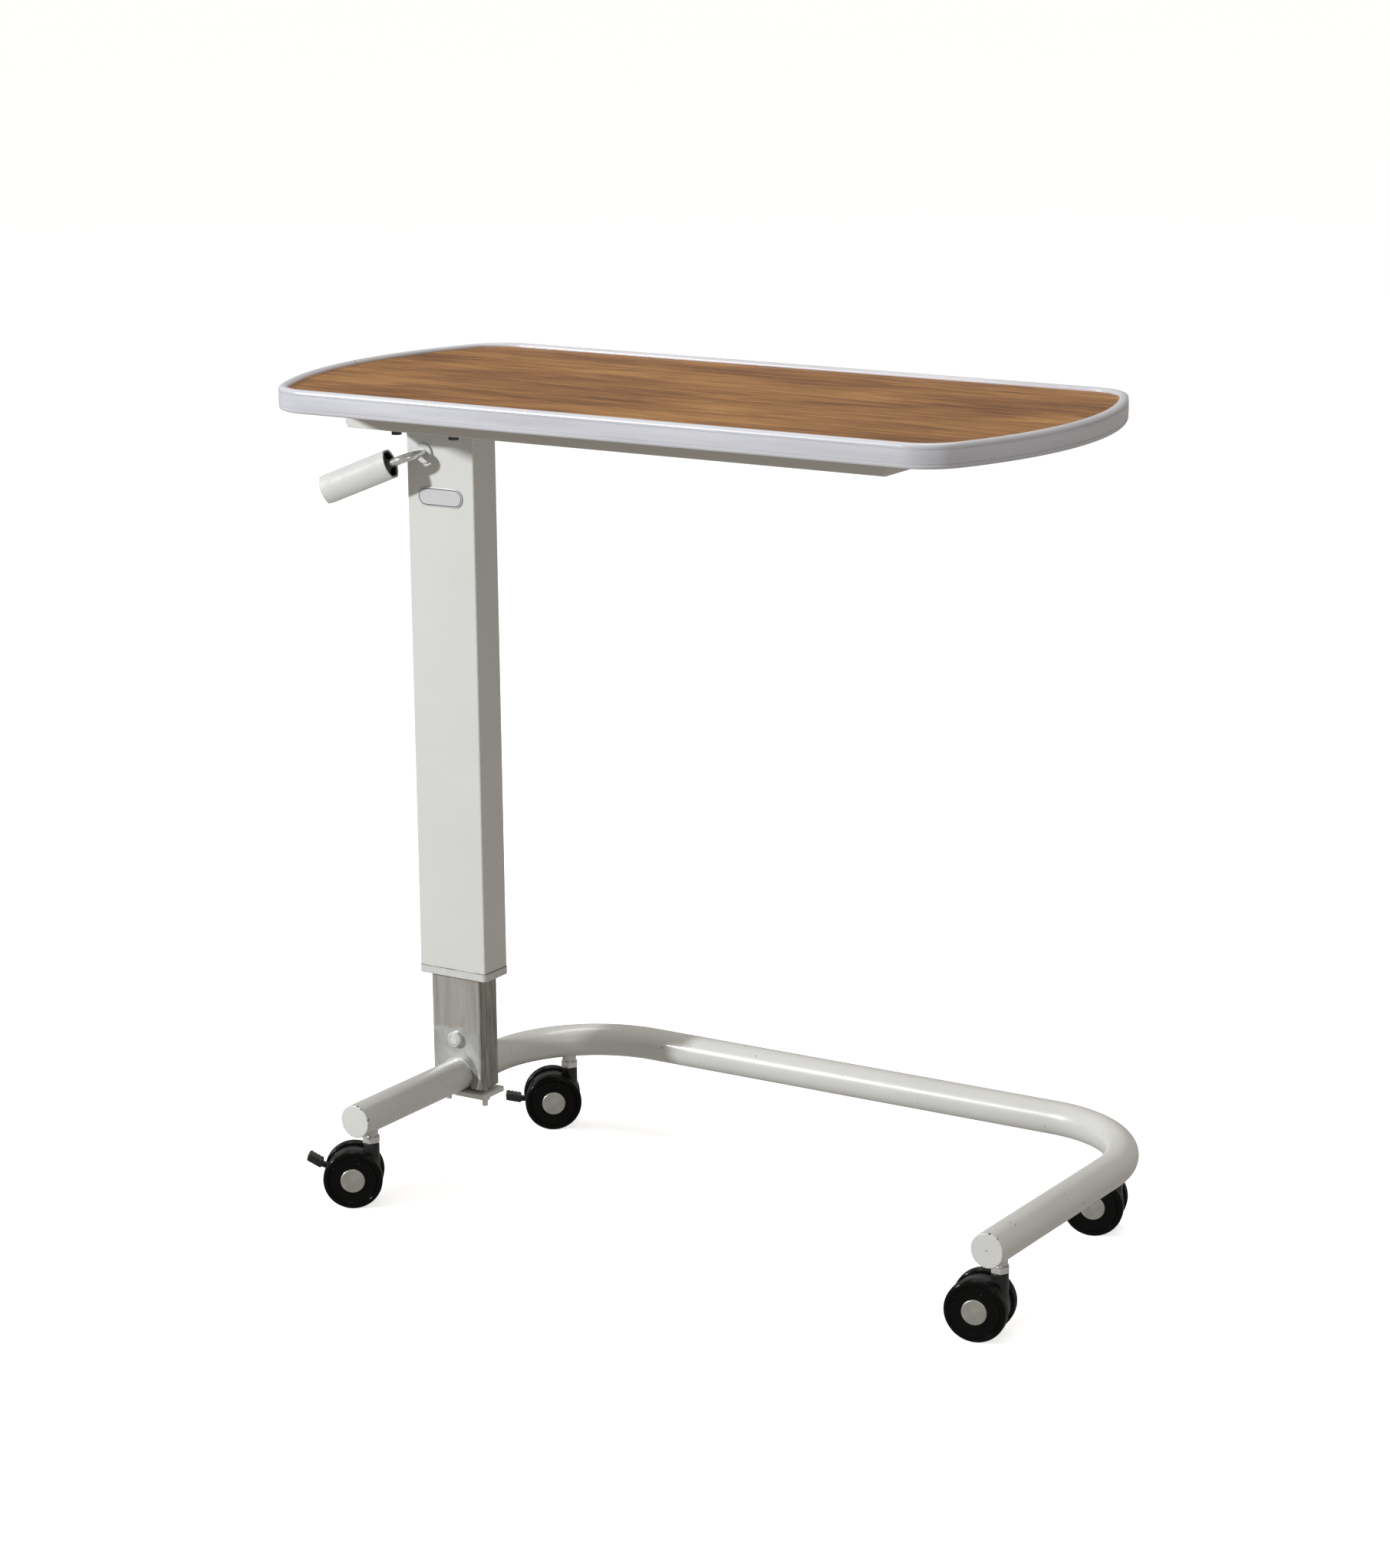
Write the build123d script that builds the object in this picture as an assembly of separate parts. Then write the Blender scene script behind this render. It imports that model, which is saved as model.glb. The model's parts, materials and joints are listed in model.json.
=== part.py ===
"""Overbed table on casters: a bow-ended top on one gas-sprung column, over a U-shaped tube base.

Millimetres. +Z up, X along the top, Y across it, with the front at -Y. The origin is on the floor, under the
middle of the object's box. The column stands at the left, so that a bed's side goes between base and top.
"""

from build123d import *
import os
from math import asin, cos, degrees, hypot, radians, sin

# ---- driving dimensions -------------------------------------------------------------------------------------
TOP_HALF_LENGTH = 430.5        # from the top's centre to the middle of a bowed end
TOP_CORNER_HALF_LENGTH = 374.0  # where a bowed end would meet a long edge, without its corner radius
TOP_HALF_WIDTH = 200.0
TOP_CORNER_R = 54.0
TOP_Z = 854.6                  # top of the raised lip
RIM_HEIGHT = 23.7
RIM_WIDTH = 8.0
LIP_HEIGHT = 3.8               # lip above the laminate
LAMINATE = 0.8

COLUMN_X = -313.29
COLUMN_Y = 9.02                # the front casters reach further out than the top's back edge
TOP_CENTRE_X = COLUMN_X + 302.2
OUTER_SIZE = (85.0, 41.0)
INNER_SIZE = (63.0, 33.0)
WALL = 2.0
OUTER_BOTTOM_Z = 214.5
INNER_BOTTOM_Z = 82.5
INNER_TOP_Z = 640.0
COLLAR_SIZE = (87.0, 43.0)
COLLAR_HEIGHT = 9.0
SLIDE_GAP = 0.4                # between a guide and the tube that slides in it

TRAY_X = (COLUMN_X - 70.0, COLUMN_X + 565.0)
TRAY_HALF_WIDTH = 86.0
TRAY_BOTTOM_Z = 800.0
TRAY_SHEET = 2.0
TRAY_FLANGE = 16.0
HEAD_PLATE = (96.0, 110.0, 6.0)

TUBE_R = 17.5
TUBE_WALL = 2.0
TUBE_Z = 95.7
BASE_LENGTH = 740.0            # between the two arms' centre lines
BASE_FRONT_Y = -200.0
BASE_BACK_Y = 180.0
BEND_R = 124.0

WHEEL_R = 31.0
WHEEL_WIDTH = 13.2
CASTER_HALF_WIDTH = 23.0
CASTER_TRAIL = 19.0
HOOD_R = 28.2
HOOD_HALF_WIDTH = 9.1
BARREL_R = 8.5
BARREL_TOP_Z = 65.5
AXLE_R = 4.0
STEM_R = 5.0
RUNNING = 0.05                 # radial clearance of a pin in its hole
CAP_R = 12.7
# name: (stem x, stem y, how far the caster is swivelled, how far its brake pedal stands up or None)
REAR_STEM_INSET, REAR_STEM_Y, FRONT_STEM_Y = 36.3, 143.7, -172.5
BASE_RIGHT_X = COLUMN_X + BASE_LENGTH
CASTERS = {
    "left_front": (COLUMN_X, FRONT_STEM_Y, 33.5, 20.0),
    "left_rear": (COLUMN_X + REAR_STEM_INSET, REAR_STEM_Y, 37.0, 0.0),
    "right_front": (BASE_RIGHT_X, FRONT_STEM_Y, 12.5, None),
    "right_rear": (BASE_RIGHT_X - REAR_STEM_INSET, REAR_STEM_Y, 19.0, None),
}

LEVER_X = COLUMN_X - 19.5
LEVER_Z = 768.0
LEVER_ROD_R = 4.5
LEVER_PLANE_Y = -50.0          # where the lever's arm lies, in front of the column
LEVER_BEND_R = 13.0
LEVER_DROOP = 22.0             # degrees below the horizontal, to the left
GRIP_START = 23.5              # from the lever's axis
GRIP_LENGTH = 91.0
GRIP_HEIGHT, GRIP_WIDTH, GRIP_FLAT = 30.0, 21.5, 9.0

PIN_Z = 136.0                  # the gas spring's lower pin
PIN_R = 5.0
SPRING_R = 11.0
SPRING_Z = (150.0, 630.0)
SPRING_ROD_BOTTOM_Z = 335.0
SPRING_ROD_TOP_Z = 744.0
RELEASE_PIN_R = 2.0
RELEASE_PIN_Z = (736.0, 752.0)

PARTS = "parts"
os.makedirs(PARTS, exist_ok=True)


# ---- small helpers ------------------------------------------------------------------------------------------
def write(name, *solids):
    """Writes the solids, drawn with the column at y = 0, as one STEP file, which is one node."""
    shape = solids[0] if len(solids) == 1 else Compound(children=list(solids))
    export_step(Pos(0, COLUMN_Y, 0) * shape, f"{PARTS}/{name}.step")


def cylinder(radius, z0, z1, x=0.0, y=0.0):
    """A vertical cylinder from z0 to z1."""
    return Pos(x, y, (z0 + z1) / 2) * Cylinder(radius, z1 - z0)


def cylinder_y(radius, y0, y1, x=0.0, z=0.0):
    """A cylinder along Y between y0 and y1, in either order."""
    return Pos(x, (y0 + y1) / 2, z) * Rot(90, 0, 0) * Cylinder(radius, abs(y1 - y0))


def block(x0, x1, y0, y1, z0, z1):
    return Pos((x0 + x1) / 2, (y0 + y1) / 2, (z0 + z1) / 2) * Box(x1 - x0, y1 - y0, z1 - z0)


def hexagon(across_flats, z0, z1, x=0.0, y=0.0):
    face = RegularPolygon(across_flats / 2, 6, major_radius=False)
    return Pos(x, y, z0) * extrude(face, z1 - z0)


def rounded_bar(size, corner_r, z0, z1):
    """A solid bar of rounded rectangular section, on the column's axis."""
    return Pos(COLUMN_X, 0, z0) * extrude(RectangleRounded(*size, corner_r), z1 - z0)


def square_tube(size, wall, corner_r, z0, z1):
    inside = (size[0] - 2 * wall, size[1] - 2 * wall)
    return rounded_bar(size, corner_r, z0, z1) - rounded_bar(inside, corner_r - wall + 0.5, z0 - 1, z1 + 1)


def edges_at(shape, z, axis=Axis.Z):
    return shape.edges().filter_by_position(axis, z - 0.01, z + 0.01)


# ---- the top --------------------------------------------------------------------------------------------------
def top_outline(inset):
    """The top's outline, moved in by inset: two straight edges, two bowed ends and four rounded corners."""
    bow = TOP_HALF_LENGTH - TOP_CORNER_HALF_LENGTH
    end_r = (TOP_HALF_WIDTH**2 + bow**2) / (2 * bow)
    end_x = TOP_HALF_LENGTH - end_r            # the bowed end's centre
    corner_y = TOP_HALF_WIDTH - TOP_CORNER_R
    corner_x = end_x + ((end_r - TOP_CORNER_R) ** 2 - corner_y**2) ** 0.5
    turn = asin(corner_y / (end_r - TOP_CORNER_R))
    corner_r, r = TOP_CORNER_R - inset, end_r - inset
    meet = Vector(end_x + r * cos(turn), r * sin(turn))
    half = (radians(90) + turn) / 2
    mid = Vector(corner_x + corner_r * cos(half), corner_y + corner_r * sin(half))
    top = Vector(corner_x, corner_y + corner_r)

    def quarter(sx, sy):
        a, m, b = (Vector(p.X * sx, p.Y * sy) for p in (top, mid, meet))
        return ThreePointArc(a, m, b)

    def end(sx):
        a, m, b = Vector(meet.X * sx, meet.Y), Vector((end_x + r) * sx, 0), Vector(meet.X * sx, -meet.Y)
        return ThreePointArc(a, m, b)

    edges = [Line(Vector(-top.X, sy * top.Y), Vector(top.X, sy * top.Y)) for sy in (1, -1)]
    edges += [quarter(sx, sy) for sx in (1, -1) for sy in (1, -1)]
    edges += [end(1), end(-1)]
    return make_face(Wire.combine(edges)[0])


def top_slab(inset, z0, z1):
    return Pos(TOP_CENTRE_X, 0, z0) * extrude(top_outline(inset), z1 - z0)


RIM_BOTTOM_Z = TOP_Z - RIM_HEIGHT
LAMINATE_TOP_Z = TOP_Z - LIP_HEIGHT
SCREW_X = [TRAY_X[0] + 30 + i * (TRAY_X[1] - TRAY_X[0] - 60) / 3 for i in range(4)]
SCREW_PLACES = [(x, y) for x in SCREW_X for y in (-TRAY_HALF_WIDTH + 9, TRAY_HALF_WIDTH - 9)]
SCREW_R, SCREW_HEAD_R, SCREW_IN = 2.0, 4.0, 12.0
MOUNT_BOLTS = [(COLUMN_X + sx * 36, sy * 45) for sx in (-1, 1) for sy in (-1, 1)]


def tabletop():
    rim = top_slab(0, RIM_BOTTOM_Z, TOP_Z) - top_slab(RIM_WIDTH, RIM_BOTTOM_Z - 1, TOP_Z + 1)
    rim = fillet(edges_at(rim, TOP_Z), 3.0)
    outer_bottom = edges_at(rim, RIM_BOTTOM_Z).sort_by(SortBy.LENGTH)
    reach = [e for e in outer_bottom if e.is_valid and is_outer(e)]
    rim = fillet(reach, 3.0)
    write("edge_rim", rim)
    board = top_slab(RIM_WIDTH, RIM_BOTTOM_Z, LAMINATE_TOP_Z - LAMINATE)
    for x, y in SCREW_PLACES:
        board -= cylinder(SCREW_R, RIM_BOTTOM_Z - 1, RIM_BOTTOM_Z + SCREW_IN, x, y)
    write("top_board", board)
    write("wood_laminate", top_slab(RIM_WIDTH, LAMINATE_TOP_Z - LAMINATE, LAMINATE_TOP_Z))


def is_outer(edge):
    """True for an edge of the rim's outer wall: its middle lies on the outline that is not moved in."""
    middle = edge @ 0.5
    x, y = abs(middle.X - TOP_CENTRE_X), abs(middle.Y)
    inner = top_slab(RIM_WIDTH / 2, RIM_BOTTOM_Z - 1, RIM_BOTTOM_Z + 1)
    return not inner.is_inside(Vector(TOP_CENTRE_X + x, y, RIM_BOTTOM_Z))


def support_tray():
    """A folded steel tray under the top, open upwards, with inward flanges that the screws go through."""
    x0, x1 = TRAY_X
    w, t, z0 = TRAY_HALF_WIDTH, TRAY_SHEET, TRAY_BOTTOM_Z
    tray = block(x0, x1, -w, w, z0, RIM_BOTTOM_Z)
    tray = fillet(edges_at(tray, z0), 1.0)
    tray -= block(x0 + t, x1 - t, -w + t, w - t, z0 + t, RIM_BOTTOM_Z - t)
    f = TRAY_FLANGE
    tray -= block(x0 + f, x1 - f, -w + f, w - f, z0 + t, RIM_BOTTOM_Z + 1)
    for x, y in SCREW_PLACES:
        tray -= cylinder(SCREW_R + 0.3, RIM_BOTTOM_Z - t - 1, RIM_BOTTOM_Z + 1, x, y)
    for x, y in MOUNT_BOLTS:
        tray -= cylinder(3.3, z0 - 1, z0 + t + 1, x, y)
    for x in (x0, x1):
        for y in (-w, w):
            tray -= cylinder(2.2, z0 - 1, z0 + 3.5, x, y)
    write("support_tray", tray)
    head_z = RIM_BOTTOM_Z - t
    screws = []
    for x, y in SCREW_PLACES:
        head = cylinder(SCREW_HEAD_R, head_z - 2.2, head_z, x, y)
        head = fillet(edges_at(head, head_z - 2.2), 1.2)
        screws.append(head + cylinder(SCREW_R, head_z - 1, RIM_BOTTOM_Z + SCREW_IN, x, y))
    write("tray_screws", *screws)


def top_mounting():
    """The plate welded on top of the column, and the bolts that hold the tray down on it."""
    z1 = TRAY_BOTTOM_Z
    z0 = z1 - HEAD_PLATE[2]
    plate = Pos(COLUMN_X, 0, (z0 + z1) / 2) * Box(*HEAD_PLATE)
    plate = fillet(plate.edges().filter_by(Axis.Z), 5.0)
    bolts, nuts = [], []
    for x, y in MOUNT_BOLTS:
        plate -= cylinder(3.3, z0 - 1, z1 + 1, x, y)
        bolts.append(hexagon(10, z0 - 4.5, z0, x, y) + cylinder(3.0, z0 - 1, z1 + 10, x, y))
        nut = hexagon(10, z1 + TRAY_SHEET, z1 + TRAY_SHEET + 5, x, y)
        nuts.append(nut - cylinder(3.02, 0, 900, x, y))
    write("column_head_plate", plate)
    write("head_plate_bolts", *bolts)
    write("head_plate_nuts", *nuts)


# ---- the column -----------------------------------------------------------------------------------------------
BUSH_HOLE_R = 6.5


def column():
    outer = square_tube(OUTER_SIZE, WALL, 2.5, OUTER_BOTTOM_Z, TRAY_BOTTOM_Z - HEAD_PLATE[2])
    outer -= cylinder_y(BUSH_HOLE_R, -30, 30, LEVER_X, LEVER_Z)
    write("outer_column", outer)

    slot = (INNER_SIZE[0] + 2 * SLIDE_GAP, INNER_SIZE[1] + 2 * SLIDE_GAP)
    sleeve_size = (OUTER_SIZE[0] - 2 * WALL - 0.4, OUTER_SIZE[1] - 2 * WALL - 0.4)
    collar = rounded_bar(COLLAR_SIZE, 5.0, OUTER_BOTTOM_Z - COLLAR_HEIGHT, OUTER_BOTTOM_Z)
    collar = fillet(edges_at(collar, OUTER_BOTTOM_Z - COLLAR_HEIGHT), 1.2)
    collar += rounded_bar(sleeve_size, 2.3, OUTER_BOTTOM_Z - 1, OUTER_BOTTOM_Z + 30)
    collar -= rounded_bar(slot, 3.2, 0, 900)
    write("lower_guide_collar", collar)

    inner = square_tube(INNER_SIZE, WALL, 3.0, INNER_BOTTOM_Z, INNER_TOP_Z)
    saddle_r = TUBE_R + 0.3
    inner -= cylinder_y(saddle_r, -30, 30, COLUMN_X, TUBE_Z)
    inner -= block(COLUMN_X - saddle_r, COLUMN_X + saddle_r, -30, 30, 0, TUBE_Z)
    inner -= cylinder_y(PIN_R + RUNNING, -30, 30, COLUMN_X, PIN_Z)
    write("inner_column", inner)

    glide_size = (OUTER_SIZE[0] - 2 * WALL - 2 * SLIDE_GAP, OUTER_SIZE[1] - 2 * WALL - 2 * SLIDE_GAP)
    glide = rounded_bar(glide_size, 2.2, INNER_TOP_Z - 30, INNER_TOP_Z + 3)
    glide -= rounded_bar(INNER_SIZE, 3.0, 0, INNER_TOP_Z)
    inside = (INNER_SIZE[0] - 2 * WALL, INNER_SIZE[1] - 2 * WALL)
    glide -= rounded_bar(inside, 1.5, 0, 900)
    write("upper_guide_cap", glide)

    badge_face = SlotOverall(56, 20)
    face_y = -OUTER_SIZE[1] / 2
    place = Pos(COLUMN_X, face_y, 723) * Rot(90, 0, 0)
    badge = place * extrude(badge_face, 1.4)
    badge -= place * Pos(0, 0, 0.8) * extrude(SlotOverall(53.6, 17.6), 2)
    write("badge_plate", badge)


def gas_spring():
    """A lockable gas spring: its cylinder is pinned to the inner column, and its rod lifts the outer one."""
    z0, z1 = SPRING_Z
    body = cylinder(SPRING_R, z0, z1, COLUMN_X)
    body = fillet(edges_at(body, z1), 1.5)
    body -= cylinder(SPRING_R - 1.5, z0 + 12, z1 - 18, COLUMN_X)
    body -= cylinder(PIN_R + RUNNING, z1 - 20, z1 + 1, COLUMN_X)
    eye = cylinder_y(10, -6, 6, COLUMN_X, PIN_Z) + block(COLUMN_X - 7, COLUMN_X + 7, -6, 6, PIN_Z, z0 + 2)
    body = body + eye - cylinder_y(PIN_R + RUNNING, -10, 10, COLUMN_X, PIN_Z)
    write("gas_spring_cylinder", body)

    rod = cylinder(PIN_R, SPRING_ROD_BOTTOM_Z + 10, SPRING_ROD_TOP_Z, COLUMN_X)
    rod -= cylinder(RELEASE_PIN_R + RUNNING, RELEASE_PIN_Z[0] - 8, SPRING_ROD_TOP_Z + 1, COLUMN_X)
    write("gas_spring_rod", rod)
    piston = cylinder(SPRING_R - 1.5 - RUNNING, SPRING_ROD_BOTTOM_Z, SPRING_ROD_BOTTOM_Z + 10, COLUMN_X)
    groove = cylinder(SPRING_R, SPRING_ROD_BOTTOM_Z + 3.5, SPRING_ROD_BOTTOM_Z + 6.5, COLUMN_X)
    groove -= cylinder(SPRING_R - 3.7, 0, 900, COLUMN_X)
    write("gas_spring_piston", piston - groove)

    front, back = -INNER_SIZE[1] / 2, INNER_SIZE[1] / 2
    head = cylinder_y(8.2, front - 6, front, COLUMN_X, PIN_Z)
    head = chamfer(edges_at(head, front - 6, Axis.Y), 1.0)
    write("lower_pin", head + cylinder_y(PIN_R, front - 1, back + 6, COLUMN_X, PIN_Z))
    nut = Pos(COLUMN_X, back, PIN_Z) * Rot(-90, 0, 0) * extrude(RegularPolygon(7.5, 6, major_radius=False), 5)
    write("lower_pin_nut", nut - cylinder_y(PIN_R + 0.02, back - 1, back + 7, COLUMN_X, PIN_Z))

    half = (OUTER_SIZE[0] / 2 - WALL - 0.2, OUTER_SIZE[1] / 2 - WALL - 0.2)
    z0, z1 = SPRING_ROD_TOP_Z - 22, SPRING_ROD_TOP_Z
    head_block = block(COLUMN_X - half[0], COLUMN_X + half[0], -half[1], half[1], z0, z1)
    head_block = fillet(head_block.edges().filter_by(Axis.Z), 2.5)
    write("spring_head_block", head_block - cylinder(PIN_R + 0.02, z0 - 1, z1 + 1, COLUMN_X))
    release_pin = cylinder(RELEASE_PIN_R, *RELEASE_PIN_Z, COLUMN_X)
    write("release_pin", fillet(edges_at(release_pin, RELEASE_PIN_Z[1]), 0.6))


# ---- the release lever ----------------------------------------------------------------------------------------
def lever_place():
    """From the lever's own frame, with the arm along +X and +Z across it, to its place on the column."""
    return Pos(LEVER_X, LEVER_PLANE_Y, LEVER_Z) * Rot(0, -LEVER_DROOP, 0) * Rot(0, 0, 180)


def grip_section(shrink):
    """The grip's barrel-shaped section: two short flats joined by two bulging sides."""
    h, w, f = GRIP_HEIGHT / 2 - shrink, GRIP_WIDTH / 2 - shrink, GRIP_FLAT / 2 - shrink * 0.4
    edges = [
        Line((-f, h), (f, h)),
        ThreePointArc((f, h), (w, 0), (f, -h)),
        Line((f, -h), (-f, -h)),
        ThreePointArc((-f, -h), (-w, 0), (-f, h)),
    ]
    return make_face(Wire.combine(edges)[0])


def grip_bar(shrink, start, length):
    """A bar of the grip's section along the lever's own +X."""
    plane = Plane(origin=(start, 0, 0), x_dir=(0, 1, 0), z_dir=(1, 0, 0))
    return extrude(plane * grip_section(shrink), length)


def lever():
    place = lever_place()
    back_y = OUTER_SIZE[1] / 2 + 3.5
    depth = back_y - LEVER_PLANE_Y
    r = LEVER_BEND_R
    path = Wire([
        Line((0, -depth, 0), (0, -r, 0)),
        ThreePointArc((0, -r, 0), (r - r * cos(radians(45)), -r + r * sin(radians(45)), 0), (r, 0, 0)),
        Line((r, 0, 0), (GRIP_START + 62, 0, 0)),
    ])
    start = Plane(origin=(0, -depth, 0), z_dir=(0, 1, 0))
    rod = sweep(start * Circle(LEVER_ROD_R), path=path)
    write("release_lever_rod", place * rod)

    shell = grip_bar(0, GRIP_START, GRIP_LENGTH)
    shell = fillet(edges_at(shell, GRIP_START + GRIP_LENGTH, Axis.X), 1.2)
    shell -= grip_bar(1.5, GRIP_START - 1, GRIP_LENGTH - 1)
    write("grip_shell", place * shell)
    core = grip_bar(1.6, GRIP_START + 1.0, GRIP_LENGTH - 3.2)
    core -= grip_bar(2.9, GRIP_START, GRIP_LENGTH - 12)
    boss = Pos(GRIP_START + 4, 0, 0) * Rot(0, 90, 0) * Cylinder(6.6, 66, align=(Align.CENTER, Align.CENTER, Align.MIN))
    core += boss + Pos(GRIP_START + 4 + 33, 0, 0) * Box(66, 1.6, GRIP_HEIGHT - 5)
    bore = Rot(0, 90, 0) * Cylinder(LEVER_ROD_R + 0.05, GRIP_START + 63, align=(Align.CENTER, Align.CENTER, Align.MIN))
    write("grip_core", place * (core - bore))

    face = OUTER_SIZE[1] / 2
    bushes = []
    for sign in (-1, 1):
        flange = cylinder_y(10.5, face * sign, (face + 2.6) * sign, LEVER_X, LEVER_Z)
        flange = fillet(edges_at(flange, (face + 2.6) * sign, Axis.Y), 0.9)
        sleeve = cylinder_y(BUSH_HOLE_R - 0.05, (face - 5) * sign, (face + 1) * sign, LEVER_X, LEVER_Z)
        bushes.append(flange + sleeve - cylinder_y(LEVER_ROD_R + RUNNING, -40, 40, LEVER_X, LEVER_Z))
    write("lever_bushes", *bushes)

    tip_r = 3.0
    tip_x, tip_z = COLUMN_X, RELEASE_PIN_Z[1] + 0.3 + tip_r
    reach = hypot(tip_x - LEVER_X, tip_z - LEVER_Z)
    fall = degrees(asin((LEVER_Z - tip_z) / reach))
    cam = cylinder_y(8.5, -4, 4, LEVER_X, LEVER_Z) + cylinder_y(tip_r, -4, 4, tip_x, tip_z)
    cam += Pos(LEVER_X, 0, LEVER_Z) * Rot(0, fall, 0) * Pos(reach / 2, 0, 0) * Box(reach, 8, 2 * tip_r)
    write("release_cam", cam - cylinder_y(LEVER_ROD_R + 0.02, -5, 5, LEVER_X, LEVER_Z))


# ---- the base -------------------------------------------------------------------------------------------------
def tube_solid(radius, y_front):
    """A solid bar of that radius along the base's U, with its ends at y_front."""
    x0, x1, r = COLUMN_X, BASE_RIGHT_X, BEND_R
    yb, s = BASE_BACK_Y, BEND_R * (1 - cos(radians(45)))
    path = Wire([
        Line((x0, y_front, TUBE_Z), (x0, yb - r, TUBE_Z)),
        ThreePointArc((x0, yb - r, TUBE_Z), (x0 + s, yb - s, TUBE_Z), (x0 + r, yb, TUBE_Z)),
        Line((x0 + r, yb, TUBE_Z), (x1 - r, yb, TUBE_Z)),
        ThreePointArc((x1 - r, yb, TUBE_Z), (x1 - s, yb - s, TUBE_Z), (x1, yb - r, TUBE_Z)),
        Line((x1, yb - r, TUBE_Z), (x1, y_front, TUBE_Z)),
    ])
    start = Plane(origin=(x0, y_front, TUBE_Z), z_dir=(0, 1, 0))
    return sweep(start * Circle(radius), path=path)


def base():
    cap = 2.5
    outer = tube_solid(TUBE_R, BASE_FRONT_Y + cap)
    tube = outer - tube_solid(TUBE_R - TUBE_WALL, BASE_FRONT_Y + cap)
    bosses, stems, nuts = [], [], []
    for x, y, _, _ in CASTERS.values():
        tube -= cylinder(STEM_R + 0.2, TUBE_Z - TUBE_R - 3, TUBE_Z, x, y)
        boss = cylinder(7.5, TUBE_Z - TUBE_R - 3.6, TUBE_Z - TUBE_R + 3, x, y) - outer
        bosses.append(boss - cylinder(STEM_R + RUNNING, 0, 100, x, y))
        stems.append(cylinder(STEM_R, 40, TUBE_Z - 4, x, y))
        nut = hexagon(17, BARREL_TOP_Z + 1.0, BARREL_TOP_Z + 7.0, x, y)
        nut &= cylinder(9.5, 0, 100, x, y)
        nuts.append(nut - cylinder(STEM_R + 0.02, 0, 100, x, y))
    write("base_tube", tube)
    write("caster_bosses", *bosses)
    write("caster_stems", *stems)
    write("caster_stem_nuts", *nuts)

    caps = []
    for x in (COLUMN_X, BASE_RIGHT_X):
        disc = cylinder_y(TUBE_R, BASE_FRONT_Y, BASE_FRONT_Y + cap, x, TUBE_Z)
        disc = fillet(edges_at(disc, BASE_FRONT_Y, Axis.Y), 1.2)
        plug = cylinder_y(TUBE_R - TUBE_WALL - 0.1, BASE_FRONT_Y + 1, BASE_FRONT_Y + 12, x, TUBE_Z)
        hollow = cylinder_y(TUBE_R - 4.5, BASE_FRONT_Y + cap, BASE_FRONT_Y + 13, x, TUBE_Z)
        caps.append(disc + plug - hollow)
    write("tube_end_caps", *caps)

    top_z = TUBE_Z - TUBE_R - 0.05
    bottom_z = top_z - 5
    plate = block(COLUMN_X - 35.5, COLUMN_X + 35.5, -20, 20, bottom_z, top_z)
    plate = fillet(plate.edges().filter_by(Axis.Z), 2.0)
    bar_z = TUBE_Z + TUBE_R + 3
    half = (INNER_SIZE[0] / 2 - WALL - 0.1, INNER_SIZE[1] / 2 - WALL - 0.1)
    bar = block(COLUMN_X - half[0], COLUMN_X + half[0], -half[1], half[1], bar_z, bar_z + 7)
    bar = fillet(bar.edges().filter_by(Axis.Z), 1.4)
    studs, stud_nuts = [], []
    for side in (-1, 1):
        x = COLUMN_X + side * 23.8
        plate -= cylinder(3.2, 0, 100, x)
        bar -= cylinder(3.03, 0, 200, x)
        studs.append(cylinder(3.0, bottom_z - 13, bar_z + 7, x))
        washer = cylinder(5.8, bottom_z - 1, bottom_z, x)
        nut = hexagon(10, bottom_z - 6, bottom_z - 1, x) + washer
        stud_nuts.append(nut - cylinder(3.03, 0, 200, x))
    write("clamp_plate", plate)
    write("clamp_bar", bar)
    write("clamp_studs", *studs)
    write("clamp_nuts", *stud_nuts)


# ---- the casters ----------------------------------------------------------------------------------------------
# In a caster's own frame its stem is on Z, its wheels trail towards -X, and its axle lies along Y.
def caster_housing(braked):
    """The body that swivels on the stem: a barrel and a hood between the two wheels, slotted for a pedal."""
    x, z, w = -CASTER_TRAIL, WHEEL_R, HOOD_HALF_WIDTH
    hood = cylinder_y(HOOD_R, -w, w, x, z)
    hood -= block(x - 40, x + 40, -20, 20, -10, z - 8)
    hood = fillet(hood.edges().filter_by(GeomType.CIRCLE), 0.8)
    barrel = cylinder(BARREL_R, z - 4, BARREL_TOP_Z)
    body = hood + fillet(edges_at(barrel, BARREL_TOP_Z), 0.8)
    cavity = cylinder_y(HOOD_R - 3, -w + 2.2, w - 2.2, x, z) - cylinder(BARREL_R, -10, 100)
    body -= cavity
    if braked:
        body -= block(x - 40, x - 15, -4.2, 4.2, -5, z + 20)
    body -= cylinder_y(AXLE_R + RUNNING, -30, 30, x, z)
    return body - cylinder(STEM_R + RUNNING, 38, 100)


def caster_wheel(side):
    """One wheel, with a rounded tread, a dished outer face and a seat for its hub cap."""
    outer, inner = side * CASTER_HALF_WIDTH, side * (CASTER_HALF_WIDTH - WHEEL_WIDTH)
    x, z = -CASTER_TRAIL, WHEEL_R
    wheel = cylinder_y(WHEEL_R, inner, outer, x, z)
    wheel = fillet(edges_at(wheel, outer, Axis.Y), 3.2)
    wheel = fillet(edges_at(wheel, inner, Axis.Y), 1.5)
    face = outer - side * 0.8
    wheel -= cylinder_y(WHEEL_R - 6.0, face, outer + side, x, z)
    wheel -= cylinder_y(CAP_R + 0.05, outer - side * 2.5, outer + side, x, z)
    return wheel - cylinder_y(AXLE_R + RUNNING, -30, 30, x, z)


def caster_cap(side):
    outer = side * (CASTER_HALF_WIDTH + 0.4)
    cap = cylinder_y(CAP_R, side * (CASTER_HALF_WIDTH - 2.45), outer, -CASTER_TRAIL, WHEEL_R)
    return fillet(edges_at(cap, outer, Axis.Y), 0.8)


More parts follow.
